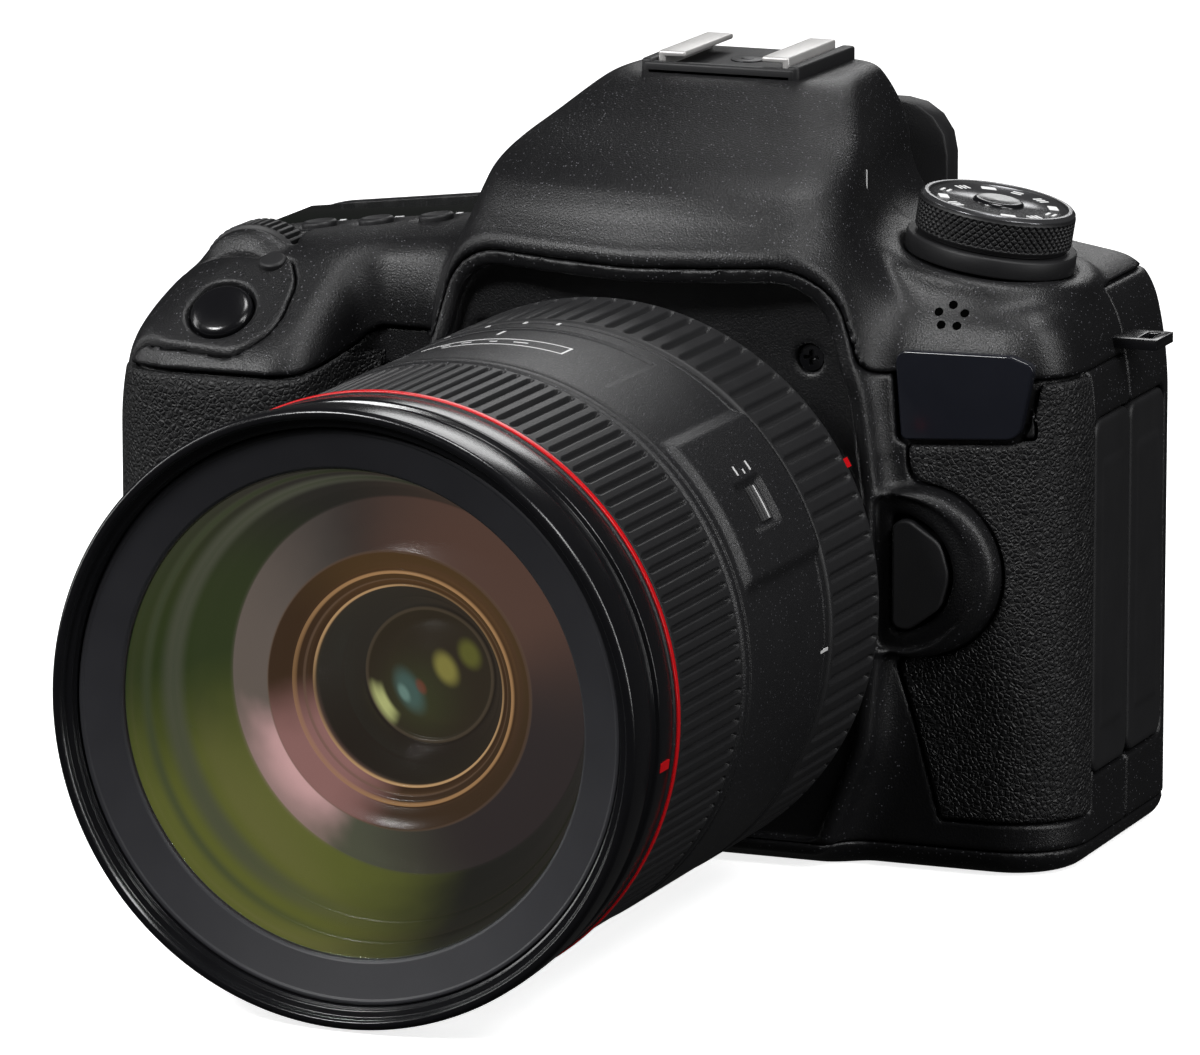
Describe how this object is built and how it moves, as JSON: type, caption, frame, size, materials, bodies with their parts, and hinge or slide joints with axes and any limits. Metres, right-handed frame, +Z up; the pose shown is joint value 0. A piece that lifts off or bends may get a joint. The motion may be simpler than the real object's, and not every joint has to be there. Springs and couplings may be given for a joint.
{
  "type": "dslr camera",
  "caption": "Single-lens reflex camera body with a mounted zoom lens; dials, buttons, doors, mirror, shutter and lens rings move.",
  "frame": {"origin": "mouth of the tripod socket, in the plane of the base and straight below the lens axis", "axes": "+Z up, the lens looks along -Y, +X towards the terminal covers, the grip on the -X side"},
  "size_m": [0.1635, 0.1834, 0.1164],
  "materials": {
    "body_paint": "semi-gloss black paint with a fine speckle over magnesium alloy",
    "leather": "pebbled black synthetic leather",
    "name_plate": "dark blue-grey gloss plate, blank",
    "black_steel": "blackened cross-head screws",
    "lug_metal": "black-plated steel",
    "shoe_metal": "brushed stainless steel",
    "mount_metal": "satin chromed brass",
    "inner_black": "flocked matt black",
    "optical_glass": "clear optical glass",
    "coated_glass": "multi-coated optical glass",
    "window_glass": "clear window with a scale under it",
    "control_plastic": "satin black plastic with white marks",
    "soft_rubber": "soft black rubber",
    "ring_rubber": "ribbed black rubber",
    "lens_black": "satin black with a red line near the front",
    "screen_glass": "gloss black screen cover",
    "lcd_panel": "grey-green display under a clear window",
    "sensor": "green-violet filter glass",
    "circuit_board": "green solder mask",
    "battery_case": "grey-black plastic",
    "mirror": "front-silvered glass"
  },
  "bodies": {
    "camera_body": {"bottom_cover": "body_paint", "front_cover": "body_paint", "rear_cover": "body_paint", "top_cover": "body_paint", "grip_rubber": "leather", "front_leather": "leather", "name_plate": "name_plate", "cover_screws": "black_steel", "strap_lugs": "lug_metal", "hot_shoe": "shoe_metal", "mirror_box": "inner_black", "body_mount": "mount_metal", "pentaprism": "optical_glass", "eyepiece": "control_plastic", "image_sensor": "sensor", "main_board": "circuit_board", "rear_screen": "screen_glass", "top_screen": "lcd_panel", "battery": "battery_case", "lens_mount": "mount_metal", "lens_barrel": "lens_black", "rear_optics": "coated_glass", "distance_window": "window_glass"},
    "shutter_button": {"shutter_button": "control_plastic"},
    "main_dial": {"main_dial": "control_plastic"},
    "function_button": {"function_button": "control_plastic"},
    "light_button": {"light_button": "control_plastic"},
    "metering_button": {"metering_button": "control_plastic"},
    "drive_button": {"drive_button": "control_plastic"},
    "iso_button": {"iso_button": "control_plastic"},
    "mode_dial": {"mode_dial": "control_plastic"},
    "mode_lock_button": {"mode_lock_button": "control_plastic"},
    "power_switch": {"power_switch": "control_plastic"},
    "quick_dial": {"quick_dial": "control_plastic"},
    "set_button": {"set_button": "control_plastic"},
    "joystick": {"joystick": "control_plastic"},
    "live_view_switch": {"live_view_switch": "control_plastic"},
    "start_button": {"start_button": "control_plastic"},
    "af_on_button": {"af_on_button": "control_plastic"},
    "ae_lock_button": {"ae_lock_button": "control_plastic"},
    "menu_button": {"menu_button": "control_plastic"},
    "info_button": {"info_button": "control_plastic"},
    "playback_button": {"playback_button": "control_plastic"},
    "erase_button": {"erase_button": "control_plastic"},
    "front_terminal_cover": {"front_terminal_cover": "soft_rubber"},
    "rear_terminal_cover": {"rear_terminal_cover": "soft_rubber"},
    "release_button": {"release_button": "control_plastic"},
    "preview_button": {"preview_button": "control_plastic"},
    "battery_door": {"battery_door": "body_paint"},
    "card_door": {"card_door": "body_paint"},
    "main_mirror": {"main_mirror": "mirror"},
    "shutter_curtain": {"shutter_curtain": "inner_black"},
    "diopter_knob": {"diopter_knob": "control_plastic"},
    "eyecup": {"eyecup": "soft_rubber"},
    "zoom_ring": {"zoom_ring": "ring_rubber"},
    "front_barrel": {"front_barrel": "lens_black", "front_optics": "coated_glass"},
    "focus_ring": {"focus_ring": "ring_rubber"},
    "focus_group": {"focus_group": "coated_glass"},
    "af_switch": {"af_switch": "control_plastic"}
  },
  "joints": [
    {"name": "shutter_button_press", "type": "slide", "parent": "camera_body", "child": "shutter_button", "axis": [0, 0.652, -0.7582], "range_m": [0, 0.0012], "stiffness_N_per_m": 300, "springref_m": -0.0006},
    {"name": "main_dial_turn", "type": "hinge", "parent": "camera_body", "child": "main_dial", "pos_m": [-0.0695, -0.008, 0.08062], "axis": [0, 1, 0], "continuous": true},
    {"name": "function_button_press", "type": "slide", "parent": "camera_body", "child": "function_button", "axis": [0, 0.652, -0.7582], "range_m": [0, 0.0008], "stiffness_N_per_m": 300, "springref_m": -0.0006},
    {"name": "light_button_press", "type": "slide", "parent": "camera_body", "child": "light_button", "axis": [0, 0, -1], "range_m": [0, 0.0008], "stiffness_N_per_m": 300, "springref_m": -0.0006},
    {"name": "metering_button_press", "type": "slide", "parent": "camera_body", "child": "metering_button", "axis": [0, 0, -1], "range_m": [0, 0.0008], "stiffness_N_per_m": 300, "springref_m": -0.0006},
    {"name": "drive_button_press", "type": "slide", "parent": "camera_body", "child": "drive_button", "axis": [0, 0, -1], "range_m": [0, 0.0008], "stiffness_N_per_m": 300, "springref_m": -0.0006},
    {"name": "iso_button_press", "type": "slide", "parent": "camera_body", "child": "iso_button", "axis": [0, 0, -1], "range_m": [0, 0.0008], "stiffness_N_per_m": 300, "springref_m": -0.0006},
    {"name": "mode_dial_turn", "type": "hinge", "parent": "camera_body", "child": "mode_dial", "pos_m": [0.045, 0.002, 0.0892], "axis": [0.1615, 0, 0.9869], "continuous": true},
    {"name": "mode_lock_button_press", "type": "slide", "parent": "mode_dial", "child": "mode_lock_button", "axis": [-0.1615, 0, -0.9869], "range_m": [0, 0.0008], "stiffness_N_per_m": 300, "springref_m": -0.0006},
    {"name": "power_switch_turn", "type": "hinge", "parent": "camera_body", "child": "power_switch", "pos_m": [0.045, 0.002, 0.0892], "axis": [-0.1615, 0, -0.9869], "range_deg": [0, 50]},
    {"name": "quick_dial_turn", "type": "hinge", "parent": "camera_body", "child": "quick_dial", "pos_m": [-0.056, 0.032, 0.03], "axis": [0, 1, 0], "continuous": true},
    {"name": "set_button_press", "type": "slide", "parent": "camera_body", "child": "set_button", "axis": [0, -1, 0], "range_m": [0, 0.0008], "stiffness_N_per_m": 300, "springref_m": -0.0006},
    {"name": "joystick_tilt", "type": "hinge", "parent": "camera_body", "child": "joystick", "pos_m": [-0.042, 0.03, 0.058], "axis": [1, 0, 0], "range_deg": [-8, 8], "stiffness_Nm_per_rad": 0.02},
    {"name": "live_view_switch_turn", "type": "hinge", "parent": "camera_body", "child": "live_view_switch", "pos_m": [-0.035, 0.032, 0.074], "axis": [0, 1, 0], "range_deg": [0, 40]},
    {"name": "start_button_press", "type": "slide", "parent": "camera_body", "child": "start_button", "axis": [0, -1, 0], "range_m": [0, 0.0008], "stiffness_N_per_m": 300, "springref_m": -0.0006},
    {"name": "af_on_button_press", "type": "slide", "parent": "camera_body", "child": "af_on_button", "axis": [0, -1, 0], "range_m": [0, 0.0008], "stiffness_N_per_m": 300, "springref_m": -0.0006},
    {"name": "ae_lock_button_press", "type": "slide", "parent": "camera_body", "child": "ae_lock_button", "axis": [0, -1, 0], "range_m": [0, 0.0008], "stiffness_N_per_m": 300, "springref_m": -0.0006},
    {"name": "menu_button_press", "type": "slide", "parent": "camera_body", "child": "menu_button", "axis": [0, -1, 0], "range_m": [0, 0.0008], "stiffness_N_per_m": 300, "springref_m": -0.0006},
    {"name": "info_button_press", "type": "slide", "parent": "camera_body", "child": "info_button", "axis": [0, -1, 0], "range_m": [0, 0.0008], "stiffness_N_per_m": 300, "springref_m": -0.0006},
    {"name": "playback_button_press", "type": "slide", "parent": "camera_body", "child": "playback_button", "axis": [0, -1, 0], "range_m": [0, 0.0008], "stiffness_N_per_m": 300, "springref_m": -0.0006},
    {"name": "erase_button_press", "type": "slide", "parent": "camera_body", "child": "erase_button", "axis": [0, -1, 0], "range_m": [0, 0.0008], "stiffness_N_per_m": 300, "springref_m": -0.0006},
    {"name": "front_terminal_cover_hinge", "type": "hinge", "parent": "camera_body", "child": "front_terminal_cover", "pos_m": [0.0655, -0.0075, 0.041], "axis": [0, 0, -1], "range_deg": [0, 105]},
    {"name": "rear_terminal_cover_hinge", "type": "hinge", "parent": "camera_body", "child": "rear_terminal_cover", "pos_m": [0.0655, 0.0245, 0.041], "axis": [0, 0, 1], "range_deg": [0, 105]},
    {"name": "release_button_press", "type": "slide", "parent": "camera_body", "child": "release_button", "axis": [0, 1, 0], "range_m": [0, 0.002], "stiffness_N_per_m": 300, "springref_m": -0.0006},
    {"name": "preview_button_press", "type": "slide", "parent": "camera_body", "child": "preview_button", "axis": [0, 1, 0], "range_m": [0, 0.001], "stiffness_N_per_m": 300, "springref_m": -0.0006},
    {"name": "battery_door_hinge", "type": "hinge", "parent": "camera_body", "child": "battery_door", "pos_m": [-0.056, -0.0048, 0.0002], "axis": [0, -1, 0], "range_deg": [0, 95]},
    {"name": "card_door_hinge", "type": "hinge", "parent": "camera_body", "child": "card_door", "pos_m": [-0.087, 0.022, 0.041], "axis": [0, 0, -1], "range_deg": [0, 95]},
    {"name": "main_mirror_flip", "type": "hinge", "parent": "camera_body", "child": "main_mirror", "pos_m": [0, 0.009, 0.0606], "axis": [-1, 0, 0], "range_deg": [0, 44], "stiffness_Nm_per_rad": 0.004, "springref_deg": -8.59},
    {"name": "shutter_curtain_slide", "type": "slide", "parent": "camera_body", "child": "shutter_curtain", "axis": [0, 0, -1], "range_m": [0, 0.025], "stiffness_N_per_m": 60, "springref_m": -0.004},
    {"name": "diopter_knob_turn", "type": "hinge", "parent": "camera_body", "child": "diopter_knob", "pos_m": [-0.0255, 0.028, 0.099], "axis": [1, 0, 0], "range_deg": [-150, 150]},
    {"name": "eyecup_slide", "type": "slide", "parent": "camera_body", "child": "eyecup", "axis": [0, 0, 1], "range_m": [0, 0.014]},
    {"name": "zoom_ring_turn", "type": "hinge", "parent": "camera_body", "child": "zoom_ring", "pos_m": [0, -0.046, 0.0446], "axis": [0, 1, 0], "range_deg": [0, 75]},
    {"name": "front_barrel_slide", "type": "slide", "parent": "camera_body", "child": "front_barrel", "axis": [0, -1, 0], "range_m": [0, 0.0281]},
    {"name": "focus_ring_turn", "type": "hinge", "parent": "camera_body", "child": "focus_ring", "pos_m": [0, -0.106, 0.0446], "axis": [0, 1, 0], "range_deg": [-45, 45]},
    {"name": "focus_group_slide", "type": "slide", "parent": "camera_body", "child": "focus_group", "axis": [0, -1, 0], "range_m": [-0.0056, 0.0056]},
    {"name": "af_switch_slide", "type": "slide", "parent": "camera_body", "child": "af_switch", "axis": [0, 1, 0], "range_m": [0, 0.0035]}
  ],
  "couplings": [
    {"joint": "front_barrel_slide", "follows": "zoom_ring_turn", "m_per_rad": 0.02139},
    {"joint": "focus_group_slide", "follows": "focus_ring_turn", "m_per_rad": 0.007003}
  ]
}
